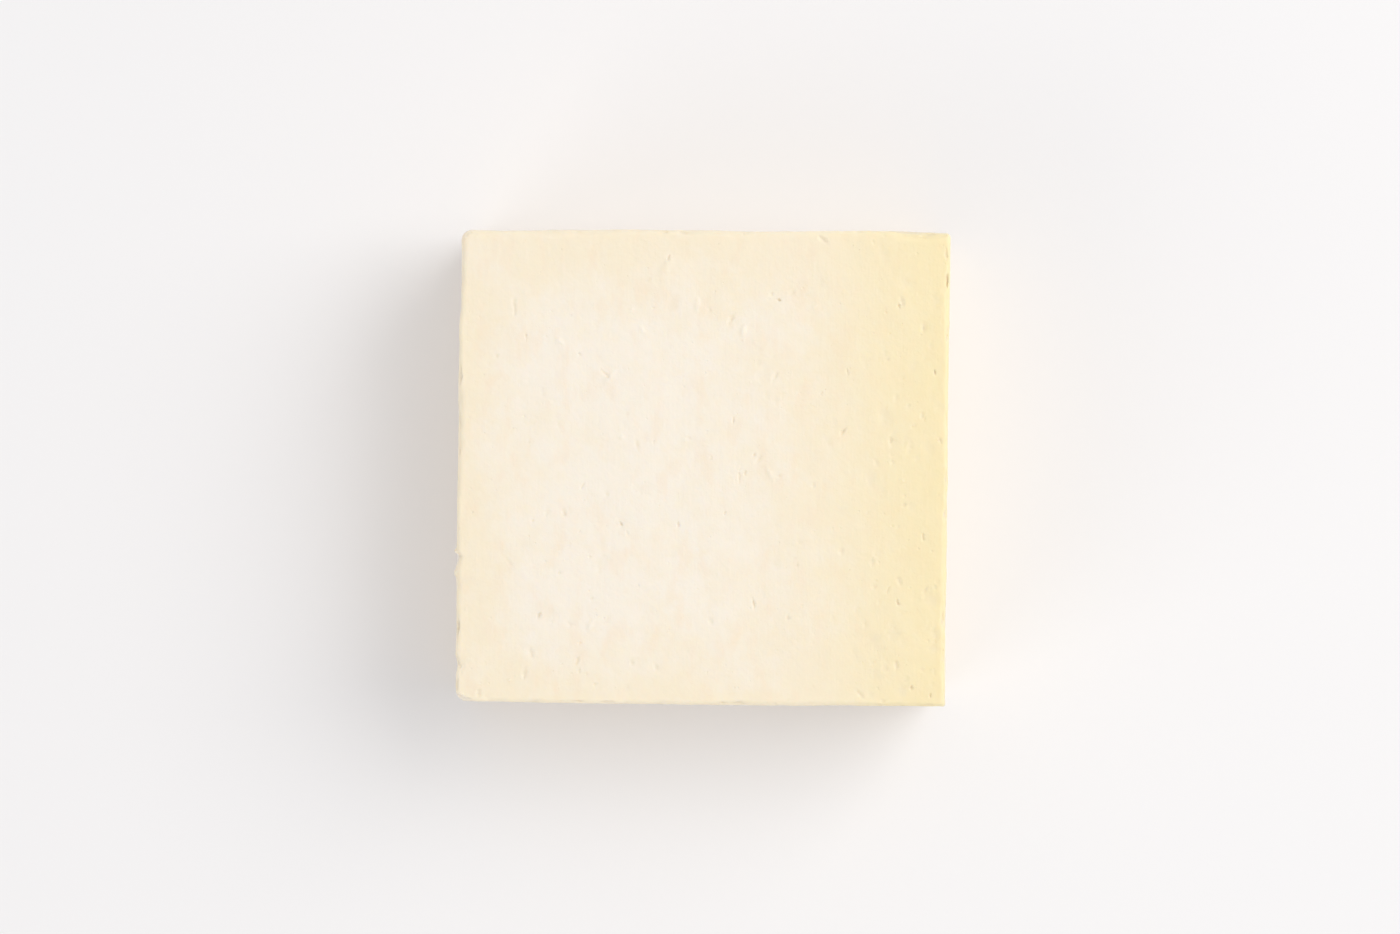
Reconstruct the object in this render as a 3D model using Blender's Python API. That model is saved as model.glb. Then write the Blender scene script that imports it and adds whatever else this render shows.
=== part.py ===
"""A block of extra-firm tofu, cut square and stood on its widest face.

Metres, +Z up. The origin is the middle of the face it rests on, X runs along
the wider side and Y along the other, towards the back. The block starts as a
plain cube that is scored by knife planes, and every point is then moved by the
rules below: round the upright corners, round the top and bottom rims, lean and
bow the walls as soft curd does, step the left wall where the knife started
again, break off the weak corners, dent the rims where curd crumbled away.
"""

import math

import bmesh
import bpy
from mathutils import Vector, noise

MM = 0.001

# Driving sizes
WIDTH = 103.9 * MM
DEPTH = 100.4 * MM
HEIGHT = 40 * MM

# Radius of each upright corner, by its place as seen from above
CORNER_RADIUS = {
    ("left", "back"): 2.4 * MM,
    ("right", "back"): 1.0 * MM,
    ("left", "front"): 1.6 * MM,
    ("right", "front"): 0.6 * MM,
}
TOP_RIM_RADIUS = 1.2 * MM
BOTTOM_RIM_RADIUS = 1.0 * MM
RIM_WEAR = 0.6  # share by which handling rubs a rim's radius up or down
RIM_WEAR_LENGTH = 19 * MM

# How far the foot of each wall stands outside (+) or inside (-) its top
WALL_FOOT = {"left": -0.5 * MM, "right": 0.4 * MM, "back": 0.3 * MM, "front": -0.3 * MM}
WALL_BOW = 0.4 * MM  # the walls swell this much at mid height
SIDE_BOW = 0.1 * MM  # and halfway along the left and right sides
END_BOW = 0.2 * MM  # and halfway along the front and back
BACK_OUT_OF_SQUARE = 0.2 * MM  # the back wall runs out this much at the right end
LEFT_OUT_OF_SQUARE = 0.15 * MM  # the left wall runs out this much at the front end

# The left wall was cut in two strokes, so it steps outward going to the front
STEP_PLACE = 31 * MM
STEP_OUT = 0.3 * MM
STEP_OVER = 5 * MM

# The faces are never quite flat: long, low waves left by the press and the knife
WAVE_HEIGHT = 0.25 * MM
WAVE_LENGTH = 34 * MM
WAVE_FREE_FOOT = 3 * MM  # the waves fade out this close to the face it rests on
WAVE_SEED = 1124  # without a seed Blender lays them from the clock, anew in each run

# Broken corners. Each is a plane that cuts away what lies outside it: a corner
# of the block in shares of the half sizes, the way the plane faces, and how far
# it is pulled in from that corner. The first runs down the front left edge.
BREAKS = [
    {"at": (-1, -1, 1), "facing": (-0.42, -0.88, 0.22), "bite": 1.75 * MM},
    {"at": (1, -1, -1), "facing": (0.50, -0.62, -0.60), "bite": 1.5 * MM},
]
BREAK_ROUGHNESS = 0.25 * MM
BREAK_GRAIN = 3 * MM

# Dents where curd crumbled from a rim: the middle in shares of the half sizes,
# how far the dent spreads along X, Y and Z, and the push at its middle.
DENTS = [
    {"at": (-1, -0.392, 0.9), "spread": (3, 1.6, 9), "push": (0.8, 0, -0.15)},
    {"at": (-1, -0.84, 1), "spread": (2, 2.2, 5), "push": (0.5, 0, -0.1)},
    {"at": (0.84, 1, 1), "spread": (6, 2.5, 4), "push": (0, -0.5, -0.25)},
    {"at": (1, 1, 1), "spread": (8, 2.5, 4), "push": (0, -0.45, -0.2)},
    {"at": (0.32, -1, -1), "spread": (4, 2, 3), "push": (0, 0.5, 0.2)},
    {"at": (1, 0.28, -1), "spread": (2, 4, 3), "push": (-0.5, 0, 0.2)},
]

# Knife planes: close together near the edges and at the dents, wider elsewhere
RIM_LINES = [0.45 * MM, 0.9 * MM, 1.4 * MM, 2.4 * MM, 4.0 * MM]
FACE_PITCH = 6.5 * MM
CLOSEST_LINES = 0.7 * MM

TOFU_COLOUR = (0.93, 0.84, 0.70, 1.0)
SHARP_ANGLE = math.radians(40)


def half_size():
    return Vector((WIDTH, DEPTH, HEIGHT)) / 2


def side_names(x, y):
    return ("left" if x < 0 else "right", "front" if y < 0 else "back")


def smooth_step(share):
    share = min(1, max(0, share))
    return share * share * (3 - 2 * share)


def clear_scene():
    for item in list(bpy.data.objects):
        bpy.data.objects.remove(item, do_unlink=True)


def dent_lines(axis, half):
    """Places along one axis where the dents that lie inside the face need a line."""
    lines = []
    for dent in DENTS:
        if abs(dent["at"][axis]) < 0.85:
            middle = dent["at"][axis] * half
            lines += [middle + dent["spread"][axis] * MM * share for share in (-0.5, 0, 0.5)]
    return lines


def knife_lines(axis):
    """Places of the knife planes along one axis, from one side to the other."""
    half = half_size()[axis]
    rim = [half - offset for offset in RIM_LINES]
    inner = rim[-1]
    spans = max(2, round(2 * inner / FACE_PITCH))
    face = [-inner + 2 * inner * i / spans for i in range(1, spans)]
    dents = dent_lines(axis, half)
    open_face = [x for x in face if all(abs(x - dent) > CLOSEST_LINES for dent in dents)]
    return sorted([-x for x in rim] + open_face + dents + rim)


def scored_cube(name):
    """A cube of the block's size, centred on the origin and scored on all sides."""
    bm = bmesh.new()
    bmesh.ops.create_cube(bm, size=2)
    bmesh.ops.scale(bm, vec=half_size(), verts=bm.verts)
    for axis in range(3):
        normal = Vector((0, 0, 0))
        normal[axis] = 1
        for place in knife_lines(axis):
            bmesh.ops.bisect_plane(
                bm,
                geom=bm.verts[:] + bm.edges[:] + bm.faces[:],
                plane_co=normal * place,
                plane_no=normal,
            )
    mesh = bpy.data.meshes.new(name)
    bm.to_mesh(mesh)
    bm.free()
    return mesh


def pull_to_arc(a, b):
    """A point of the square corner (a, b), both 0 or more, moved onto a round one."""
    reach = math.hypot(a, b)
    return (a, b) if reach == 0 else (a * max(a, b) / reach, b * max(a, b) / reach)


def past_corner(point, radius):
    """How far a point lies past the middle of its upright corner's arc, in X and Y."""
    half = half_size()
    return abs(point.x) - (half.x - radius), abs(point.y) - (half.y - radius)


def round_upright_corner(point):
    past_x, past_y = past_corner(point, CORNER_RADIUS[side_names(point.x, point.y)])
    if past_x <= 0 or past_y <= 0:
        return
    arc_x, arc_y = pull_to_arc(past_x, past_y)
    point.x -= math.copysign(past_x - arc_x, point.x)
    point.y -= math.copysign(past_y - arc_y, point.y)


def rim_radius(point):
    """The rim's radius at a place, rubbed rounder in some stretches than in others."""
    radius = TOP_RIM_RADIUS if point.z > 0 else BOTTOM_RIM_RADIUS
    edge = Vector((point.x, point.y, math.copysign(HEIGHT / 2, point.z)))
    return radius * (1 + RIM_WEAR * noise.noise(edge / RIM_WEAR_LENGTH))


def inset_and_outward(point, rim):
    """How far inside the rounded outline a point is, and the way out of it."""
    radius = max(rim, CORNER_RADIUS[side_names(point.x, point.y)])
    past_x, past_y = past_corner(point, radius)
    if past_x > 0 and past_y > 0:
        reach = math.hypot(past_x, past_y)
        out = Vector((past_x / reach, past_y / reach, 0))
        inset = radius - reach
    elif past_x > past_y:
        out = Vector((1, 0, 0))
        inset = radius - past_x
    else:
        out = Vector((0, 1, 0))
        inset = radius - past_y
    out.x = math.copysign(out.x, point.x)
    out.y = math.copysign(out.y, point.y)
    return max(inset, 0), out


def round_rim(point):
    radius = rim_radius(point)
    inset, out = inset_and_outward(point, radius)
    drop = HEIGHT / 2 - abs(point.z)
    if inset >= radius or drop >= radius:
        return
    across, up = pull_to_arc(radius - inset, radius - drop)
    point -= out * (radius - inset - across)
    point.z -= math.copysign(radius - drop - up, point.z)


def lean_and_bow(point):
    """Soft curd under its own weight: leaning, swelling walls, a little out of square."""
    half = half_size()
    u = point.x / half.x
    v = point.y / half.y
    w = point.z / half.z
    side, end = side_names(point.x, point.y)
    fall = (1 - w) / 2
    swell = WALL_BOW * (1 - w * w)
    point.x += u**3 * (swell + SIDE_BOW * (1 - v * v)) + u * abs(u) * WALL_FOOT[side] * fall
    point.y += v**3 * (swell + END_BOW * (1 - u * u)) + v * abs(v) * WALL_FOOT[end] * fall
    point.y += BACK_OUT_OF_SQUARE * u * (v + 1) / 2
    point.x += LEFT_OUT_OF_SQUARE * v * (1 - u) / 2


def step_left_wall(point):
    """The wall's two strokes: the back one a little inside the front one."""
    share = min(0, point.x / (WIDTH / 2))
    back = smooth_step((point.y - STEP_PLACE) / STEP_OVER + 0.5)
    point.x += share**4 * STEP_OUT * (back - 0.5)


def break_off(point, chip):
    """Moves what lies outside the chip's plane back onto it, a little roughly."""
    facing = Vector(chip["facing"]).normalized()
    corner = Vector(chip["at"]) * half_size()
    outside = (point - corner).dot(facing) + chip["bite"]
    if outside <= 0:
        return
    rough = noise.noise(point / BREAK_GRAIN) * BREAK_ROUGHNESS
    point -= facing * max(0, outside + rough)


def dent_in(point, dent):
    """Pushes the points near a dent's middle in, fading to nothing at its spread."""
    middle = Vector(dent["at"]) * half_size()
    away = [(point[i] - middle[i]) / (dent["spread"][i] * MM) for i in range(3)]
    nearness = 1 - sum(share * share for share in away)
    if nearness > 0:
        point += Vector(dent["push"]) * MM * nearness**2


def wave(point):
    """Long low waves, none where the block rests."""
    height = point.z + HEIGHT / 2
    fade = min(1, max(0, height / WAVE_FREE_FOOT))
    return noise.noise_vector(point / WAVE_LENGTH) * WAVE_HEIGHT * fade


def shape(mesh):
    noise.seed_set(WAVE_SEED)
    for vertex in mesh.vertices:
        point = vertex.co.copy()
        round_upright_corner(point)
        round_rim(point)
        lean_and_bow(point)
        step_left_wall(point)
        for chip in BREAKS:
            break_off(point, chip)
        for dent in DENTS:
            dent_in(point, dent)
        vertex.co = point + wave(point)


def stand_on_origin(mesh):
    """Moves the block so that its foot is at z = 0 with the origin in the middle."""
    xs = [v.co.x for v in mesh.vertices]
    ys = [v.co.y for v in mesh.vertices]
    zs = [v.co.z for v in mesh.vertices]
    middle = Vector(((min(xs) + max(xs)) / 2, (min(ys) + max(ys)) / 2, min(zs)))
    for vertex in mesh.vertices:
        vertex.co -= middle


def tofu_material():
    material = bpy.data.materials.new("tofu_curd")
    material.use_nodes = True
    shader = material.node_tree.nodes["Principled BSDF"]
    shader.inputs["Base Color"].default_value = TOFU_COLOUR
    shader.inputs["Roughness"].default_value = 0.5
    shader.inputs["Metallic"].default_value = 0.0
    shader.inputs["IOR"].default_value = 1.38
    shader.inputs["Subsurface Weight"].default_value = 0.4
    shader.inputs["Subsurface Radius"].default_value = (1.0, 0.8, 0.5)
    shader.inputs["Subsurface Scale"].default_value = 2 * MM
    material.diffuse_color = TOFU_COLOUR
    return material


def build_tofu_block(collection):
    mesh = scored_cube("tofu_block")
    shape(mesh)
    stand_on_origin(mesh)
    mesh.shade_smooth()
    mesh.set_sharp_from_angle(angle=SHARP_ANGLE)
    mesh.materials.append(tofu_material())
    block = bpy.data.objects.new("tofu_block", mesh)
    collection.objects.link(block)


def main():
    clear_scene()
    collection = bpy.data.collections.new("tofu block")
    bpy.context.scene.collection.children.link(collection)
    build_tofu_block(collection)


main()
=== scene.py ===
# A block of extra-firm tofu on a pale table.
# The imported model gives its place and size. This script cuts the same block again in
# fine mesh, opens the pores and tears in its faces and gives them the finish of fresh curd.

import itertools
import math
import random

import bmesh
import bpy
import numpy as np
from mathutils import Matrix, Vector, noise


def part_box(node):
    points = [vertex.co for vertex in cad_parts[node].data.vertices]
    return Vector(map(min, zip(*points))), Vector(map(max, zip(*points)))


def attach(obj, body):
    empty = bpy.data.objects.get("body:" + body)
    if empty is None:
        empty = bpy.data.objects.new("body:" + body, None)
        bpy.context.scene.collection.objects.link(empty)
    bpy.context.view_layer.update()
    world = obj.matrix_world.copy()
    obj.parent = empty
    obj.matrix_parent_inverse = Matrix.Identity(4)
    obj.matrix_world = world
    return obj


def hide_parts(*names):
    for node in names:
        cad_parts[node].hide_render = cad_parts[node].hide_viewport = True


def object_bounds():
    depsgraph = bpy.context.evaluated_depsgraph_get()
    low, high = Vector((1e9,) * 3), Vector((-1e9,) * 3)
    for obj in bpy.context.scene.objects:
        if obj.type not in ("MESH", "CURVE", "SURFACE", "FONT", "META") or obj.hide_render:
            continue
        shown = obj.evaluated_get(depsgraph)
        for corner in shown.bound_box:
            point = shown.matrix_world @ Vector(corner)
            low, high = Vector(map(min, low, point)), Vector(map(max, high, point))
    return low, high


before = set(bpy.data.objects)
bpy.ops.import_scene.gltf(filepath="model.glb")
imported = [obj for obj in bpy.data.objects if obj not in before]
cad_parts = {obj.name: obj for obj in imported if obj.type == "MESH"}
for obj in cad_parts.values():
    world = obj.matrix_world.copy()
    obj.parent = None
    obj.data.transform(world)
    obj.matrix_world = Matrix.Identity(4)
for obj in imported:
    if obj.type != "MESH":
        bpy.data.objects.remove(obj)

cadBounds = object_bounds()
mm = 0.001


def say(stage):
    print("tofu:", stage)


# the block as it was cut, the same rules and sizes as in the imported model
blockCut = {
    "width": 103.9 * mm,
    "depth": 100.4 * mm,
    "height": 40 * mm,
    "cornerRadius": {  # each upright corner, as seen from above
        ("left", "back"): 2.4 * mm,
        ("right", "back"): 1.0 * mm,
        ("left", "front"): 1.6 * mm,
        ("right", "front"): 0.6 * mm,
    },
    "topRimRadius": 1.2 * mm,
    "footRimRadius": 1.0 * mm,
    "rimWear": 0.6,  # how much handling rubs the rims rounder or leaves them sharp
    "rimWearLength": 19 * mm,
    "wallFoot": {"left": -0.5 * mm, "right": 0.4 * mm, "back": 0.3 * mm, "front": -0.3 * mm},
    "wallBow": 0.4 * mm,
    "sideBow": 0.1 * mm,
    "endBow": 0.2 * mm,
    "backOutOfSquare": 0.2 * mm,
    "leftOutOfSquare": 0.15 * mm,
    "step": {"place": 31 * mm, "out": 0.3 * mm, "over": 5 * mm},  # the left wall's two strokes
    "wave": {"height": 0.25 * mm, "length": 34 * mm, "freeFoot": 3 * mm, "seed": 1124},
    "breaks": [
        {"at": (-1, -1, 1), "facing": (-0.42, -0.88, 0.22), "bite": 1.75 * mm},
        {"at": (1, -1, -1), "facing": (0.50, -0.62, -0.60), "bite": 1.5 * mm},
    ],
    "breakRoughness": 0.25 * mm,
    "breakGrain": 3 * mm,
    "dents": [
        {"at": (-1, -0.392, 0.9), "spread": (3, 1.6, 9), "push": (0.8, 0, -0.15)},
        {"at": (-1, -0.84, 1), "spread": (2, 2.2, 5), "push": (0.5, 0, -0.1)},
        {"at": (0.84, 1, 1), "spread": (6, 2.5, 4), "push": (0, -0.5, -0.25)},
        {"at": (1, 1, 1), "spread": (8, 2.5, 4), "push": (0, -0.45, -0.2)},
        {"at": (0.32, -1, -1), "spread": (4, 2, 3), "push": (0, 0.5, 0.2)},
        {"at": (1, 0.28, -1), "spread": (2, 4, 3), "push": (-0.5, 0, 0.2)},
    ],
}
halfBlock = Vector((blockCut["width"], blockCut["depth"], blockCut["height"])) / 2
noise.seed_set(blockCut["wave"]["seed"])  # or Blender lays its noise from the clock


def smoothShare(share):
    share = min(1, max(0, share))
    return share * share * (3 - 2 * share)


def sideNames(x, y):
    return ("left" if x < 0 else "right", "front" if y < 0 else "back")


def pullToArc(a, b):
    # a point of a square corner, both numbers 0 or more, moved onto a round one
    reach = math.hypot(a, b)
    return (a, b) if reach == 0 else (a * max(a, b) / reach, b * max(a, b) / reach)


def pastCorner(point, radius):
    return abs(point.x) - (halfBlock.x - radius), abs(point.y) - (halfBlock.y - radius)


def roundUprightCorner(point):
    pastX, pastY = pastCorner(point, blockCut["cornerRadius"][sideNames(point.x, point.y)])
    if pastX <= 0 or pastY <= 0:
        return
    arcX, arcY = pullToArc(pastX, pastY)
    point.x -= math.copysign(pastX - arcX, point.x)
    point.y -= math.copysign(pastY - arcY, point.y)


def rimRadius(point):
    radius = blockCut["topRimRadius"] if point.z > 0 else blockCut["footRimRadius"]
    edge = Vector((point.x, point.y, math.copysign(halfBlock.z, point.z)))
    return radius * (1 + blockCut["rimWear"] * noise.noise(edge / blockCut["rimWearLength"]))


def insetAndOutward(point, rim):
    # how far inside the rounded outline a point is, and the way out of it
    radius = max(rim, blockCut["cornerRadius"][sideNames(point.x, point.y)])
    pastX, pastY = pastCorner(point, radius)
    if pastX > 0 and pastY > 0:
        reach = math.hypot(pastX, pastY)
        out = Vector((pastX / reach, pastY / reach, 0))
        inset = radius - reach
    elif pastX > pastY:
        out = Vector((1, 0, 0))
        inset = radius - pastX
    else:
        out = Vector((0, 1, 0))
        inset = radius - pastY
    out.x = math.copysign(out.x, point.x)
    out.y = math.copysign(out.y, point.y)
    return max(inset, 0), out


def roundRim(point):
    radius = rimRadius(point)
    inset, out = insetAndOutward(point, radius)
    drop = halfBlock.z - abs(point.z)
    if inset >= radius or drop >= radius:
        return
    across, up = pullToArc(radius - inset, radius - drop)
    point -= out * (radius - inset - across)
    point.z -= math.copysign(radius - drop - up, point.z)


def leanAndBow(point):
    # soft curd under its own weight: the walls lean and swell, a little out of square
    u = point.x / halfBlock.x
    v = point.y / halfBlock.y
    w = point.z / halfBlock.z
    side, end = sideNames(point.x, point.y)
    foot = blockCut["wallFoot"]
    fall = (1 - w) / 2
    swell = blockCut["wallBow"] * (1 - w * w)
    point.x += u**3 * (swell + blockCut["sideBow"] * (1 - v * v)) + u * abs(u) * foot[side] * fall
    point.y += v**3 * (swell + blockCut["endBow"] * (1 - u * u)) + v * abs(v) * foot[end] * fall
    point.y += blockCut["backOutOfSquare"] * u * (v + 1) / 2
    point.x += blockCut["leftOutOfSquare"] * v * (1 - u) / 2


def stepLeftWall(point):
    step = blockCut["step"]
    share = min(0, point.x / halfBlock.x)
    back = smoothShare((point.y - step["place"]) / step["over"] + 0.5)
    point.x += share**4 * step["out"] * (back - 0.5)


def breakOff(point, chip):
    facing = Vector(chip["facing"]).normalized()
    outside = (point - Vector(chip["at"]) * halfBlock).dot(facing) + chip["bite"]
    if outside <= 0:
        return
    rough = noise.noise(point / blockCut["breakGrain"]) * blockCut["breakRoughness"]
    point -= facing * max(0, outside + rough)


def dentIn(point, dent):
    middle = Vector(dent["at"]) * halfBlock
    away = [(point[i] - middle[i]) / (dent["spread"][i] * mm) for i in range(3)]
    nearness = 1 - sum(share * share for share in away)
    if nearness > 0:
        point += Vector(dent["push"]) * mm * nearness**2


def waveAt(point):
    wave = blockCut["wave"]
    fade = min(1, max(0, (point.z + halfBlock.z) / wave["freeFoot"]))
    return noise.noise_vector(point / wave["length"]) * wave["height"] * fade


def cutShape(flatPoint):
    # where a point of the plain box goes on the real block
    point = Vector(flatPoint)
    roundUprightCorner(point)
    roundRim(point)
    leanAndBow(point)
    stepLeftWall(point)
    for chip in blockCut["breaks"]:
        breakOff(point, chip)
    for dent in blockCut["dents"]:
        dentIn(point, dent)
    return point + waveAt(point)


# Hollows are laid out on the plain box: pores, slits and torn rims.
# each face's way out and the way its pores are drawn out
faces = {
    "top": {"out": (0, 0, 1), "grain": (0, 1, 0)},
    "foot": {"out": (0, 0, -1), "grain": (0, 1, 0)},
    "left": {"out": (-1, 0, 0), "grain": (0, 1, 0)},
    "right": {"out": (1, 0, 0), "grain": (0, 1, 0)},
    "front": {"out": (0, -1, 0), "grain": (1, 0, 0)},
    "back": {"out": (0, 1, 0), "grain": (1, 0, 0)},
}

# the marks of the top that stand out, placed one by one: along X and Y in shares of the
# half sizes, half length and half width in mm, turn from the knife's way, depth in mm,
# less than nothing for scraps of curd that stand out
topMarks = [
    (0.990, 0.80, 2.3, 0.55, 0, 0.6),
    (0.89, 0.60, 1.7, 0.50, 0, 0.35),
    (0.89, 0.23, 1.4, 0.45, 6, 0.25),
    (0.94, 0.41, 0.9, 0.30, 4, 0.50),
    (0.79, 0.69, 0.8, 0.38, -20, 0.45),
    (0.76, 0.12, 1.1, 0.50, 5, 0.35),
    (0.77, 0.03, 0.9, 0.50, -15, 0.25),
    (0.57, 0.16, 1.2, 0.45, 40, 0.50),
    (0.30, 0.71, 0.7, 0.40, -70, 0.50),
    (0.27, 0.74, 0.8, 0.45, 10, 0.20),
    (0.36, 0.74, 1.2, 0.80, 30, 0.20),
    (0.02, 0.67, 0.8, 0.50, 0, 0.25),
    (-0.15, 0.88, 0.9, 0.38, 15, 0.30),
    (-0.23, 0.79, 0.9, 0.55, 60, 0.20),
    (0.29, 0.39, 1.7, 0.50, 30, 0.25),
    (0.12, 0.20, 1.3, 0.40, -5, 0.25),
    (0.23, 0.04, 1.7, 0.45, 28, 0.25),
    (0.15, -0.03, 2.9, 0.32, 3, 0.20),
    (0.31, -0.03, 0.8, 0.50, 80, 0.20),
    (0.82, -0.15, 0.9, 0.50, 55, 0.35),
    (0.90, -0.28, 1.1, 0.40, -5, 0.35),
    (0.91, -0.51, 1.0, 0.50, 25, 0.35),
    (0.80, -0.56, 1.2, 0.40, -10, 0.35),
    (0.21, -0.57, 1.8, 0.35, -8, 0.35),
    (-0.33, -0.24, 0.8, 0.40, -40, 0.40),
    (-0.10, -0.24, 0.9, 0.38, 0, 0.25),
    (-0.78, -0.41, 1.9, 0.45, -35, 0.20),
    (-0.66, -0.63, 1.0, 0.48, 20, 0.45),
    (-0.69, -0.79, 1.5, 0.45, -12, 0.30),
    (-0.50, -0.82, 1.8, 0.50, 28, 0.30),
    (-0.28, -0.82, 0.9, 0.55, 15, 0.25),
    (-0.66, 0.32, 1.4, 0.45, 0, 0.15),
    (-0.40, 0.39, 1.9, 0.40, -38, 0.20),
    (-0.49, -0.08, 1.2, 0.40, 28, 0.20),
    (0.86, -0.92, 0.8, 0.42, 10, 0.40),
    (0.94, -0.95, 0.7, 0.32, 0, 0.45),
    (-0.15, 0.85, 2.6, 1.10, 20, -0.32),
    (-0.03, 0.69, 2.0, 0.80, 0, -0.28),
    (-0.38, 0.38, 2.6, 0.80, 40, -0.26),
    (-0.25, 0.58, 1.5, 0.70, -30, -0.22),
    (0.16, 0.58, 1.9, 0.80, 10, -0.26),
    (0.27, -0.02, 2.4, 0.75, -25, -0.26),
    (-0.45, -0.67, 1.9, 0.75, 35, -0.24),
    (-0.59, 0.53, 1.7, 0.80, -50, -0.22),
]

# what a pressed curd shows where it is cut, sizes in mm
pores = {
    "seed": 41,
    "rimReach": 1.6 * mm,  # how far a pore that meets a rim runs down the next face
    # deeper pores get more painted shade, from darkFrom up to darkest
    "darkFrom": 0.04 * mm,  # shallower ones keep the colour of the face
    "darkest": 0.6 * mm,
    # pores keep company: patches for each face, the share that lies in them, and their size
    "patches": {"count": 5, "share": 0.5, "shareOnTop": 0.15, "spread": 0.13},
    "kinds": ("pinhole", "slit", "dimple", "crack", "crumb"),
    "pinhole": {  # small bubbles of whey
        "count": {"top": 64, "foot": 30, "left": 80, "right": 80, "front": 80, "back": 80},
        "halfLength": (0.32, 0.8), "slender": (0.6, 1.0), "deep": (0.1, 0.27), "turn": 180,
    },
    "slit": {  # gaps between curds, pressed flat and drawn out by the knife
        "count": {"top": 34, "foot": 24, "left": 42, "right": 42, "front": 42, "back": 42},
        "halfLength": (0.7, 2.0), "slender": (0.32, 0.6), "deep": (0.12, 0.4), "turn": 22,
    },
    "dimple": {  # shallow places where a curd pulled away
        "count": {"top": 110, "foot": 40, "left": 50, "right": 50, "front": 50, "back": 50},
        "halfLength": (1.0, 3.2), "slender": (0.4, 0.8), "deep": (0.06, 0.19), "turn": 35,
    },
    "crack": {  # longer seams where two layers of curd didn't quite join
        "count": {"top": 1, "foot": 2, "left": 4, "right": 4, "front": 4, "back": 4},
        "halfLength": (2.4, 4.5), "slender": (0.1, 0.16), "deep": (0.2, 0.5), "turn": 9,
    },
    "crumb": {  # bits of curd that stick to the face, so their depth is less than nothing
        "count": {"top": 16, "foot": 0, "left": 9, "right": 9, "front": 9, "back": 9},
        "halfLength": (0.35, 0.8), "slender": (0.6, 1.0), "deep": (-0.1, -0.22), "turn": 180,
    },
}


def hollow(middle, axes, radii, push, deep):
    # deep says how much painted shade fills it, and is less than nothing for what stands out
    return {
        "middle": np.array(middle),
        "axes": np.array(axes),
        "radii": np.array(radii),
        "push": np.array(push),
        "shadeShare": min(1, max(0, deep - pores["darkFrom"]) / pores["darkest"]),
        "narrow": min(radii[:2]),
    }


def poreOnFace(faceName, along, across, halfLength, halfWidth, turn, deep):
    # along runs with the face's grain and across beside it, from the face's middle
    out = Vector(faces[faceName]["out"])
    grain = Vector(faces[faceName]["grain"])
    side = grain.cross(out)
    middle = out * abs(out.dot(halfBlock)) + grain * along + side * across
    longWay = grain * math.cos(turn) + side * math.sin(turn)
    axes = [longWay, longWay.cross(out), out]
    return hollow(middle, axes, [halfLength, halfWidth, pores["rimReach"]], -out * deep, deep)


def topDensity(x, y):
    # pores crowd the right quarter and the front left, and are rare in the middle
    right = smoothShare((x - 0.5) / 0.35)
    frontLeft = smoothShare((-x - 0.1) / 0.4) * smoothShare((-y - 0.1) / 0.4)
    return 0.15 + 0.85 * right + 0.45 * frontLeft


def between(ends, share):
    return ends[0] + share * (ends[1] - ends[0])


def layPores():
    dice = random.Random(pores["seed"])
    made = []
    for x, y, halfLength, halfWidth, turn, deep in topMarks:
        made.append(poreOnFace("top", y * halfBlock.y, x * halfBlock.x, halfLength * mm,
                               halfWidth * mm, math.radians(turn), deep * mm))
    patches = {}
    for faceName in faces:
        patches[faceName] = [(dice.uniform(-1, 1), dice.uniform(-1, 1))
                             for _ in range(pores["patches"]["count"])]
    for kind in [pores[name] for name in pores["kinds"]]:
        for faceName, count in kind["count"].items():
            gathered = pores["patches"]["shareOnTop" if faceName == "top" else "share"]
            out = Vector(faces[faceName]["out"])
            grain = Vector(faces[faceName]["grain"])
            alongHalf = abs(grain.dot(halfBlock))
            acrossHalf = abs(grain.cross(out).dot(halfBlock))
            left = count
            while left > 0:
                u = dice.uniform(-1, 1)
                v = dice.uniform(-1, 1)
                if dice.random() < gathered:
                    patchU, patchV = dice.choice(patches[faceName])
                    u = patchU + dice.gauss(0, pores["patches"]["spread"])
                    v = patchV + dice.gauss(0, pores["patches"]["spread"])
                if max(abs(u), abs(v)) > 1:
                    continue
                if faceName == "top" and dice.random() > topDensity(v, u):
                    continue
                left -= 1
                size = dice.random() ** 2  # most are small
                halfLength = between(kind["halfLength"], size) * mm
                halfWidth = halfLength * dice.uniform(*kind["slender"])
                turn = math.radians(dice.gauss(0, 1) * kind["turn"])
                deep = between(kind["deep"], (size + dice.random()) / 2) * mm
                made.append(poreOnFace(faceName, u * alongHalf, v * acrossHalf,
                                       halfLength, halfWidth, turn, deep))
    return made


rimTears = {
    "seed": 7,
    "spacing": 11 * mm,  # one tear for this much rim, on the average
    "halfLength": (0.5 * mm, 2.2 * mm),
    "reach": (0.5 * mm, 1.3 * mm),
    "deep": (0.12 * mm, 0.42 * mm),
    # placed one by one, in shares of the half sizes and in mm: two lips that stand out beside the
    # left rim's notch, and the flake that came off the back rim near its right end
    "placed": [
        {"at": (-1, -0.366, 0.93), "radii": (1.5, 0.8, 1.6), "push": (-0.65, 0, 0)},
        {"at": (-1, -0.455, 0.93), "radii": (1.5, 1.3, 2.2), "push": (-0.4, 0, 0)},
        {"at": (0.89, 1, 1), "radii": (5.6, 1.8, 2.6), "push": (0, -0.25, -0.15)},
    ],
}


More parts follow.
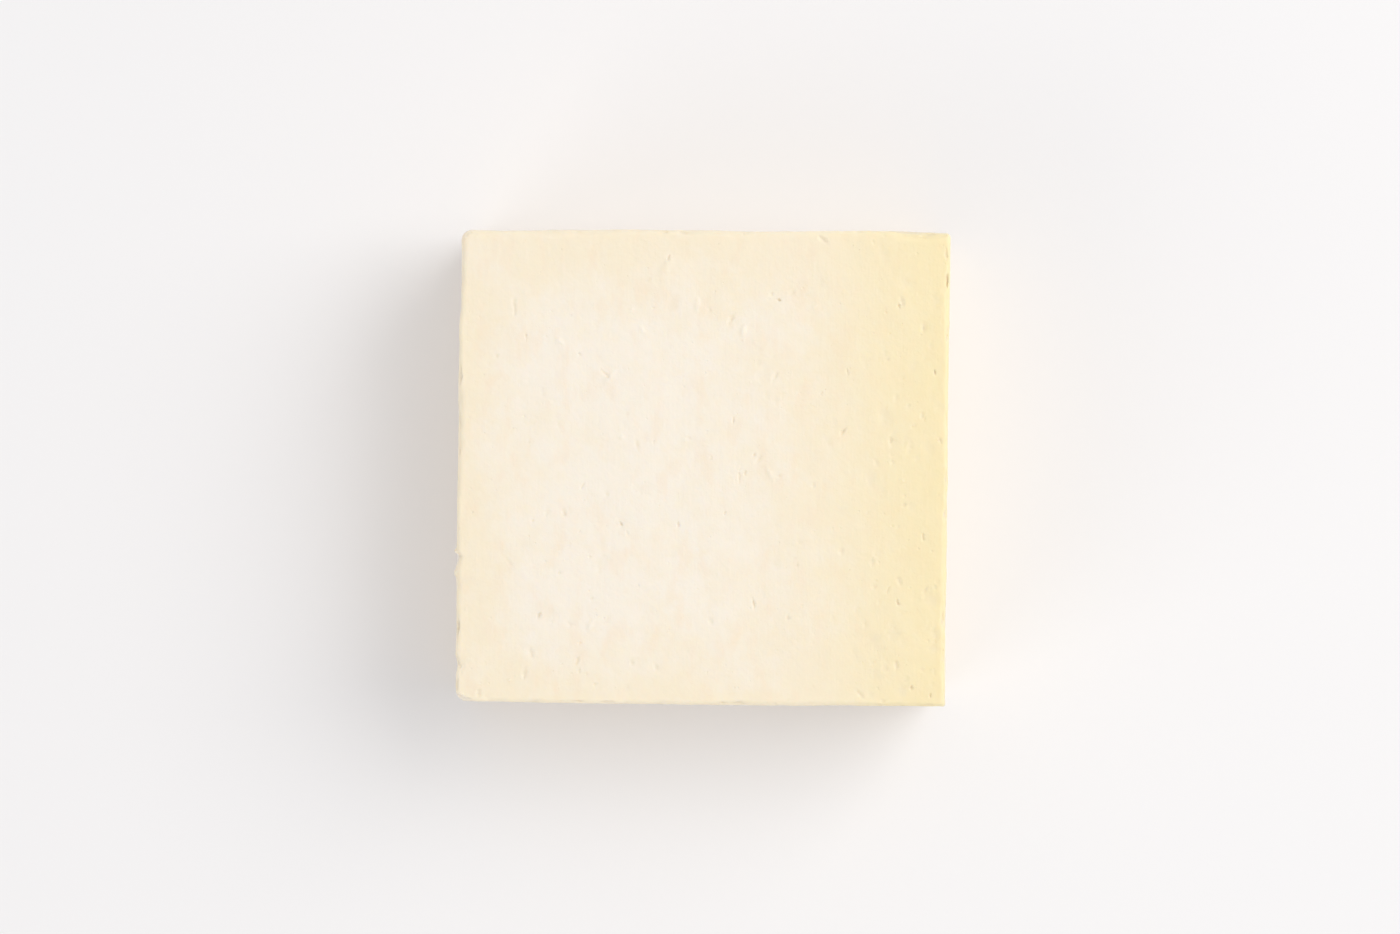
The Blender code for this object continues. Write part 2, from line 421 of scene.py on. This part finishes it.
def layRimTears():
    # curd crumbles from the twelve edges, a little here and there
    dice = random.Random(rimTears["seed"])
    made = []
    for one in rimTears["placed"]:
        middle = Vector(one["at"]) * halfBlock
        made.append(hollow(middle, np.eye(3), Vector(one["radii"]) * mm, Vector(one["push"]) * mm, 0))
    for axis in range(3):
        a, b = [i for i in range(3) if i != axis]
        count = round(2 * halfBlock[axis] / rimTears["spacing"])
        for signA, signB, _ in itertools.product((-1, 1), (-1, 1), range(count)):
            size = dice.random() ** 1.8
            reach = between(rimTears["reach"], size)
            deep = between(rimTears["deep"], size)
            lean = dice.uniform(0.3, 0.7)  # which of the two faces gives way more
            middle = Vector((0, 0, 0))
            middle[axis] = dice.uniform(-0.97, 0.97) * halfBlock[axis]
            middle[a] = signA * halfBlock[a]
            middle[b] = signB * halfBlock[b]
            push = Vector((0, 0, 0))
            push[a] = -signA * lean * deep * 1.4
            push[b] = -signB * (1 - lean) * deep * 1.4
            radii = [reach, reach, reach]
            radii[axis] = between(rimTears["halfLength"], size)
            made.append(hollow(middle, np.eye(3), radii, push, deep))
    return made


def nearness(points, one, margin=0.0):
    # 1 in the middle of a hollow, 0 at its lip; the power draws its ends to points
    away = points - one["middle"]
    close = np.flatnonzero(np.abs(away).max(axis=1) < one["radii"].max() + margin)
    local = np.abs(away[close] @ one["axes"].T) / (one["radii"] + margin)
    return close, 1 - (local**1.5).sum(axis=1) ** (1 / 1.5)


curdMesh = {
    "facePitch": 2.6 * mm,
    "rimLines": [0.7 * mm, 1.4 * mm, 2.6 * mm],
    # each pass halves the faces this near a hollow that is at most so narrow
    "passes": [(0.8 * mm, 9 * mm), (0.4 * mm, 0.95 * mm), (0.14 * mm, 0.42 * mm)],
    "lipWidth": 0.85,  # share of a hollow over which its wall goes down
    "ragged": (0.4, 0.5 * mm),  # how much, and how fine
    "wander": (0.3 * mm, 2.2 * mm),  # how far a slit bends, and over what length
    # spacing, then height on the pressed skin and on the sliced walls
    "unevenness": [(9 * mm, 0.16 * mm, 0.16 * mm), (3.4 * mm, 0.07 * mm, 0.17 * mm)],
    "rimChewing": (2.4 * mm, 0.22 * mm, 1.8 * mm),  # spacing, height, and how far from a rim
    # in shares of the half sizes: where the painted pool of light begins and is full, starts to fade and
    # ends
    "paintedLightPool": {"x": (-1.0, -0.6, -0.3, 0.75), "y": (-1.0, -0.6, 0.55, 0.95), "walls": 0.35},
    # painted yellow light: bounce light towards the right and a reflection along every rim
    "yellowLightPaint": {"right": 0.66, "from": 0.3, "wall": 0.12, "rim": 0.06, "rimWidth": 9 * mm},
}


def knifeLines(axis):
    half = halfBlock[axis]
    rim = [half - offset for offset in curdMesh["rimLines"]]
    inner = rim[-1]
    spans = round(2 * inner / curdMesh["facePitch"])
    inside = [-inner + 2 * inner * i / spans for i in range(1, spans)]
    return sorted([-x for x in rim] + inside + rim)


def scoredBox():
    bm = bmesh.new()
    bmesh.ops.create_cube(bm, size=2)
    bmesh.ops.scale(bm, vec=halfBlock, verts=bm.verts)
    for axis in range(3):
        normal = Vector((0, 0, 0))
        normal[axis] = 1
        for place in knifeLines(axis):
            geometry = bm.verts[:] + bm.edges[:] + bm.faces[:]
            bmesh.ops.bisect_plane(bm, geom=geometry, plane_co=normal * place, plane_no=normal)
    return bm


def halve(bm, chosenFaces):
    # each edge once, always in the same order, so that every run makes the same mesh
    edges = dict.fromkeys(edge for face in chosenFaces for edge in face.edges)
    bmesh.ops.subdivide_edges(bm, edges=list(edges), cuts=1, use_grid_fill=True)


def wandered(points):
    # the points as the hollows see them, so that no slit is straight
    reach, length = curdMesh["wander"]
    return points + np.array([noise.noise_vector(Vector(p) / length) for p in points]) * reach


def refineBox(bm, hollows):
    halve(bm, [face for face in bm.faces if face.normal.z > -0.5])
    for margin, narrowest in curdMesh["passes"]:
        bm.faces.ensure_lookup_table()
        middles = wandered(np.array([face.calc_center_median() for face in bm.faces]))
        wanted = np.zeros(len(middles), bool)
        for one in hollows:
            if one["narrow"] <= narrowest:
                close, share = nearness(middles, one, margin)
                wanted[close[share > 0]] = True
        halve(bm, [bm.faces[i] for i in np.flatnonzero(wanted)])


def coordinatesOf(mesh):
    flat = np.empty(len(mesh.vertices) * 3)
    mesh.vertices.foreach_get("co", flat)
    return flat.reshape(-1, 3)


def noiseOver(points, size, shift=0.0):
    return np.array([noise.noise(Vector(p) / size + Vector((shift, shift, shift))) for p in points])


def smoothShares(shares):
    shares = np.clip(shares, 0, 1)
    return shares * shares * (3 - 2 * shares)


def openHollows(plain, hollows):
    # how each point moves into its hollow, and how much painted shade its hollow gives it
    rag, grain = curdMesh["ragged"]
    ragged = rag * noiseOver(plain, grain)
    bent = wandered(plain)
    moved = np.zeros_like(plain)
    paintedPoreShade = np.zeros(len(plain))
    for one in hollows:
        close, share = nearness(bent, one)
        share = smoothShares((share + ragged[close] * (share > -0.3)) / curdMesh["lipWidth"])
        moved[close] += share[:, None] * one["push"]
        paintedPoreShade[close] = np.maximum(paintedPoreShade[close], share * one["shadeShare"])
    return moved, paintedPoreShade


def rimDistance(plain):
    # from each point to the nearest of the twelve edges
    return np.sort(np.array(halfBlock) - np.abs(plain), axis=1)[:, 1]


def sliced(plain):
    # the top and the foot keep the press's smooth skin, and the walls were cut with a knife
    return smoothShares((halfBlock.z - np.abs(plain[:, 2])) / (3 * mm))


def surfaceUnevenness(plain):
    spacing, height, reach = curdMesh["rimChewing"]
    atRim = smoothShares(1 - rimDistance(plain) / reach)
    bumps = noiseOver(plain, spacing, 9.0) * height * atRim
    cut = sliced(plain)
    for spacing, onSkin, onWalls in curdMesh["unevenness"]:
        height = onSkin + (onWalls - onSkin) * cut
        bumps += (noiseOver(plain, spacing, 5.0) - 0.5) * height
    standing = np.clip((plain[:, 2] + halfBlock.z) / (3 * mm), 0, 1)  # none where it rests
    return bumps * standing


def paintedLightPool(plain):
    # the top is palest in its middle, a painted pool of light; the walls get a set share of it
    look = curdMesh["paintedLightPool"]
    middle = 1
    for axis, (begins, full, fades, ends) in enumerate((look["x"], look["y"])):
        place = plain[:, axis] / halfBlock[axis]
        middle = middle * smoothShares((place - begins) / (full - begins))
        middle = middle * smoothShares((ends - place) / (ends - fades))
    onTop = smoothShares((plain[:, 2] - halfBlock.z) / (3 * mm) + 1)
    return look["walls"] + (middle - look["walls"]) * onTop


def paintedYellowLight(plain):
    # painted yellow bounce light, strongest towards the right, and a painted yellow reflection a little
    # along every rim
    look = curdMesh["yellowLightPaint"]
    patchy = 1 + 0.9 * noiseOver(plain, 11 * mm, 2.0)
    right = smoothShares((plain[:, 0] / halfBlock.x - look["from"]) / (1 - look["from"]))
    down = smoothShares((halfBlock.z - plain[:, 2]) / (14 * mm))
    right *= look["right"] + (look["wall"] - look["right"]) * down
    rim = np.clip(1 - rimDistance(plain) / look["rimWidth"], 0, 1) ** 2
    return np.clip(right + rim * look["rim"] * patchy, 0, 1)


def cutManySided(mesh):
    # faces with many corners become even triangles, so that no sliver folds onto the next face
    bm = bmesh.new()
    bm.from_mesh(mesh)
    manySided = [face for face in bm.faces if len(face.verts) > 4]
    bmesh.ops.triangulate(bm, faces=manySided, ngon_method="BEAUTY")
    bm.to_mesh(mesh)
    bm.free()


def buildCurdBlock(hollows):
    bm = scoredBox()
    refineBox(bm, hollows)
    mesh = bpy.data.meshes.new("tofuCurdBlock")
    bm.to_mesh(mesh)
    bm.free()
    plain = coordinatesOf(mesh)
    say(f"{len(mesh.vertices)} points in the plain box")

    shaped = np.array([cutShape(p) for p in plain])
    lowest = Vector(shaped.min(axis=0))
    highest = Vector(shaped.max(axis=0))
    boxLow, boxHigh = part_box("tofu_block")
    stand = (boxLow + boxHigh - lowest - highest) / 2
    stand.z = boxLow.z - lowest.z
    shaped += np.array(stand)
    mesh.vertices.foreach_set("co", shaped.ravel())
    mesh.update()
    normals = np.empty(len(mesh.vertices) * 3)
    mesh.vertex_normals.foreach_get("vector", normals)

    moved, paintedPoreShade = openHollows(plain, hollows)
    uneven = surfaceUnevenness(plain)
    final = shaped + moved + normals.reshape(-1, 3) * uneven[:, None]
    final = np.clip(final, boxLow, boxHigh)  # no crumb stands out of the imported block
    mesh.vertices.foreach_set("co", final.ravel())
    cutManySided(mesh)
    looks = {"paintedPoreShade": paintedPoreShade}
    for rule in (paintedLightPool, paintedYellowLight, sliced):
        looks[rule.__name__] = rule(plain)
    for name, values in looks.items():
        mesh.attributes.new(name, "FLOAT", "POINT").data.foreach_set("value", values)
    mesh.shade_smooth()
    mesh.update()
    block = bpy.data.objects.new("tofu_curd_block", mesh)
    bpy.context.scene.collection.objects.link(block)
    say(f"block of {sum(len(p.vertices) - 2 for p in mesh.polygons)} triangles")
    return block


def linear(hexColour):
    # sRGB hex to the linear numbers that nodes take
    values = []
    for i in (0, 2, 4):
        c = int(hexColour[i:i + 2], 16) / 255
        values.append(c / 12.92 if c <= 0.04045 else ((c + 0.055) / 1.055) ** 2.4)
    return (*values, 1.0)


def addNode(tree, kind, settings=None, links=None):
    node = tree.nodes.new(kind)
    for name, value in (settings or {}).items():
        if isinstance(name, int) or name in node.inputs:
            node.inputs[name].default_value = value
        else:
            setattr(node, name, value)
    for name, source in (links or {}).items():
        tree.links.new(source, node.inputs[name])
    return node


def newMaterial(name):
    material = bpy.data.materials.new(name)
    material.use_nodes = True
    material.node_tree.nodes.clear()
    return material, material.node_tree


curdFinish = {
    "curd": "FBECD4",  # fresh soybean curd, cream rather than white
    "lightPoolCurd": "FCF0E1",  # the colour of the painted pool of light
    "blushCurd": "FBE5CC",  # faint warmer streaks
    "yellowLightCurd": "FBE7B2",  # painted yellow bounce light
    "poreShadeCurd": "F1E6CE",  # painted shade inside the pores
    "roughness": (0.38, 0.55),  # film of whey to bare curd
    "scatterDepth": 1.3 * mm,
    # spacing along X, Y and Z in mm, and how finely it breaks up
    "patterns": {
        "cloud": ((13, 13, 13), 2),  # where the whey stood longer
        "mottle": ((3.2, 3.2, 3.2), 2),  # curds of a paler or a deeper cream
        "blush": ((4.2, 9, 4.2), 2),
        "lump": ((2.3, 2.3, 2.3), 2),  # curds that the press flattened against each other
        "grain": ((0.8, 0.8, 0.8), 3),  # single curds are finer, drawn this coarse to show
        "layer": ((12, 12, 2.2), 2),  # beds of pressed curd, which show in the walls
        "drag": ((0.9, 12, 0.9), 2),  # lines that the knife left
        "torn": ((8, 11, 6), 2),  # where the knife tore the skin instead of sliding over it
    },
    "paler": {"cloud": 1.6, "mottle": 1.0},  # how much each one shifts the colour
    # heights in mm on the pressed skin and on the sliced walls
    "relief": {"grain": (0.04, 0.2), "lump": (0.15, 0.4), "layer": (0.05, 0.24), "drag": (0.05, 0.08)},
    "tearing": (0.4, 1.6),  # share of the grain's height, from smooth stretches to torn ones
    "blushShare": 0.3,
    "prick": {"spacing": 2.6, "size": (0.03, 0.17), "deep": 0.07},  # small bubbles, in mm
}


def soybeanCurd():
    # Pressed soybean curd, cut with a knife: light scatters just under the moist surface,
    # which softens its edges and fills its pores, and the film of whey gives a dull sheen.
    look = curdFinish
    material, tree = newMaterial("soybean_curd")
    place = addNode(tree, "ShaderNodeTexCoord").outputs["Object"]
    inMm = addNode(tree, "ShaderNodeVectorMath", {"operation": "SCALE", "Scale": 1 / mm},
                   {0: place}).outputs[0]
    painted = {}  # what the mesh carries from point to point
    for name in ("paintedLightPool", "paintedYellowLight", "sliced", "paintedPoreShade"):
        painted[name] = addNode(tree, "ShaderNodeAttribute", {"attribute_name": name}).outputs["Fac"]
    pattern = {}  # soft noise around 0
    for seed, (name, (spacing, detail)) in enumerate(look["patterns"].items()):
        where = addNode(tree, "ShaderNodeMapping",
                        {"Scale": [1 / size for size in spacing], "Location": (4.3 * seed,) * 3},
                        {"Vector": inMm}).outputs[0]
        soft = addNode(tree, "ShaderNodeTexNoise", {"Scale": 1.0, "Detail": detail, "Roughness": 0.6},
                       {"Vector": where}).outputs["Fac"]
        pattern[name] = addNode(tree, "ShaderNodeMath", {"operation": "SUBTRACT", 1: 0.5},
                                {0: soft}).outputs[0]

    # relief: pricks of small bubbles and rough grain where the skin is torn, lumps, the knife's drag
    prick = look["prick"]
    gap = addNode(tree, "ShaderNodeTexVoronoi", {"feature": "F1", "Scale": 1 / prick["spacing"]},
                  {"Vector": inMm}).outputs["Distance"]
    edge = addNode(tree, "ShaderNodeMapRange",
                   {"From Min": -0.15, "From Max": 0.15, "To Min": prick["size"][0],
                    "To Max": prick["size"][1]}, {"Value": pattern["torn"]}).outputs[0]
    relief = addNode(tree, "ShaderNodeMapRange",
                     {"interpolation_type": "SMOOTHSTEP", "From Min": 0.01,
                      "To Min": -prick["deep"], "To Max": 0.0},
                     {"Value": gap, "From Max": edge}).outputs[0]
    tearing = addNode(tree, "ShaderNodeMapRange",
                      {"From Min": -0.12, "From Max": 0.12, "To Min": look["tearing"][0],
                       "To Max": look["tearing"][1]}, {"Value": pattern["torn"]}).outputs[0]
    pattern["grain"] = addNode(tree, "ShaderNodeMath", {"operation": "MULTIPLY"},
                               {0: pattern["grain"], 1: tearing}).outputs[0]
    for name, (onSkin, onWalls) in look["relief"].items():
        height = addNode(tree, "ShaderNodeMapRange", {"To Min": onSkin, "To Max": onWalls},
                         {"Value": painted["sliced"]}).outputs[0]
        relief = addNode(tree, "ShaderNodeMath", {"operation": "MULTIPLY_ADD"},
                         {0: pattern[name], 1: height, 2: relief}).outputs[0]
    bump = addNode(tree, "ShaderNodeBump", {"Strength": 1.0, "Distance": mm},
                   {"Height": relief}).outputs[0]

    # colour: a painted pool of light in the middle, clouds and mottle, warm streaks, painted yellow
    # bounce light, then painted shade in the pores
    # a painted pool of light, with the curd's own clouds and mottle on it
    toneAndLightPool = painted["paintedLightPool"]
    for name, shift in look["paler"].items():
        toneAndLightPool = addNode(tree, "ShaderNodeMath", {"operation": "MULTIPLY_ADD", 1: shift},
                       {0: pattern[name], 2: toneAndLightPool}).outputs[0]
    toneAndLightPool = addNode(tree, "ShaderNodeClamp", links={"Value": toneAndLightPool}).outputs[0]
    colour = addNode(tree, "ShaderNodeMix",
                     {"data_type": "RGBA", 6: linear(look["curd"]), 7: linear(look["lightPoolCurd"])},
                     {0: toneAndLightPool}).outputs[2]
    streak = addNode(tree, "ShaderNodeMapRange",
                     {"interpolation_type": "SMOOTHSTEP", "From Min": 0.0, "From Max": 0.2,
                      "To Max": look["blushShare"]}, {"Value": pattern["blush"]}).outputs[0]
    # then painted yellow light and the painted shade of the pores go over the curd's colour
    layers = ((streak, "blushCurd"), (painted["paintedYellowLight"], "yellowLightCurd"), (painted["paintedPoreShade"], "poreShadeCurd"))
    for share, name in layers:
        colour = addNode(tree, "ShaderNodeMix", {"data_type": "RGBA", 7: linear(look[name])},
                         {0: share, 6: colour}).outputs[2]

    wet = addNode(tree, "ShaderNodeMapRange",
                  {"From Min": -0.15, "From Max": 0.15, "To Min": look["roughness"][0],
                   "To Max": look["roughness"][1]}, {"Value": pattern["lump"]}).outputs[0]
    shader = addNode(tree, "ShaderNodeBsdfPrincipled", {
        "IOR": 1.38,  # water and a little protein
        "Metallic": 0.0,
        "Subsurface Weight": 0.4,
        "Subsurface Radius": (1.0, 0.9, 0.72),
        "Subsurface Scale": look["scatterDepth"],
        "Coat Weight": 0.18,
        "Coat Roughness": 0.3,
    }, {"Base Color": colour, "Roughness": wet, "Normal": bump})
    addNode(tree, "ShaderNodeOutputMaterial", links={"Surface": shader.outputs[0]})
    return material


tableFinish = {
    "colours": ("F3F1F1", "F6F5F5"),
    "cloudsPerMetre": 3.0,
    "roughness": 0.6,
}


def paleTable():
    # a matt white laminate, which hardly mirrors what stands on it
    material, tree = newMaterial("pale_laminate")
    place = addNode(tree, "ShaderNodeTexCoord").outputs["Object"]
    cloud = addNode(tree, "ShaderNodeTexNoise", {"Scale": tableFinish["cloudsPerMetre"], "Detail": 3.0},
                    {"Vector": place}).outputs["Fac"]
    dull, bright = [linear(colour) for colour in tableFinish["colours"]]
    colour = addNode(tree, "ShaderNodeMix", {"data_type": "RGBA", 6: dull, 7: bright},
                     {0: cloud}).outputs[2]
    shader = addNode(tree, "ShaderNodeBsdfPrincipled",
                     {"Roughness": tableFinish["roughness"], "IOR": 1.45}, {"Base Color": colour})
    addNode(tree, "ShaderNodeOutputMaterial", links={"Surface": shader.outputs[0]})
    return material


studio = {
    "tableSize": 6.0,
    "skyColour": "F7F8FB",
    "skyStrength": 0.70,
    "window": {"place": (1.15, 0.6, 1.35), "size": 1.5, "power": 17.7, "colour": "FFFDF9"},
    "bounce": {"place": (-1.1, -0.9, 0.7), "size": 0.9, "power": 4.0, "colour": "FFFAF2"},
}

cameraSetup = {
    "height": 1.05,  # above the block's top
    "frameWidth": 0.2968,  # what the picture takes in at the top, from side to side
    "sensor": 36.0,
    "aside": (-0.72 * mm, -0.02 * mm),  # from the middle of the block
    "turn": math.radians(0.6),
}


def buildTable():
    bm = bmesh.new()
    bmesh.ops.create_grid(bm, x_segments=4, y_segments=4, size=studio["tableSize"] / 2)
    mesh = bpy.data.meshes.new("tableTop")
    bm.to_mesh(mesh)
    bm.free()
    table = bpy.data.objects.new("table_top", mesh)
    table.location.z = cadBounds[0].z - 0.1 * mm
    mesh.materials.append(paleTable())
    bpy.context.scene.collection.objects.link(table)


def addSoftbox(name, box, aim):
    lamp = bpy.data.lights.new(name, "AREA")
    lamp.shape = "SQUARE"
    lamp.size = box["size"]
    lamp.energy = box["power"]
    lamp.color = linear(box["colour"])[:3]
    holder = bpy.data.objects.new(name, lamp)
    holder.location = Vector(box["place"])
    holder.rotation_euler = (aim - holder.location).to_track_quat("-Z", "Y").to_euler()
    bpy.context.scene.collection.objects.link(holder)


def lightStudio(middle):
    world = bpy.data.worlds.new("softRoom")
    bpy.context.scene.world = world
    world.use_nodes = True
    sky = world.node_tree.nodes["Background"]
    sky.inputs["Color"].default_value = linear(studio["skyColour"])
    sky.inputs["Strength"].default_value = studio["skyStrength"]
    addSoftbox("window_light", studio["window"], middle)
    addSoftbox("bounce_light", studio["bounce"], middle)
    bpy.context.scene.view_settings.view_transform = "Standard"
    bpy.context.scene.view_settings.look = "None"


def placeCamera(middle, top):
    lens = bpy.data.cameras.new("overhead")
    lens.sensor_width = cameraSetup["sensor"]
    lens.lens = cameraSetup["sensor"] * cameraSetup["height"] / cameraSetup["frameWidth"]
    lens.clip_end = 20
    camera = bpy.data.objects.new("overhead_camera", lens)
    camera.location = (middle.x + cameraSetup["aside"][0], middle.y + cameraSetup["aside"][1],
                       top + cameraSetup["height"])
    camera.rotation_euler = (0, 0, cameraSetup["turn"])
    bpy.context.scene.collection.objects.link(camera)
    bpy.context.scene.camera = camera


low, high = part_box("tofu_block")
middle = (low + high) / 2
placeCamera(middle, high.z)
lightStudio(middle)
buildTable()
say("studio ready")

block = buildCurdBlock(layPores() + layRimTears())
block.data.materials.append(soybeanCurd())
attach(block, "root")
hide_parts("tofu_block")
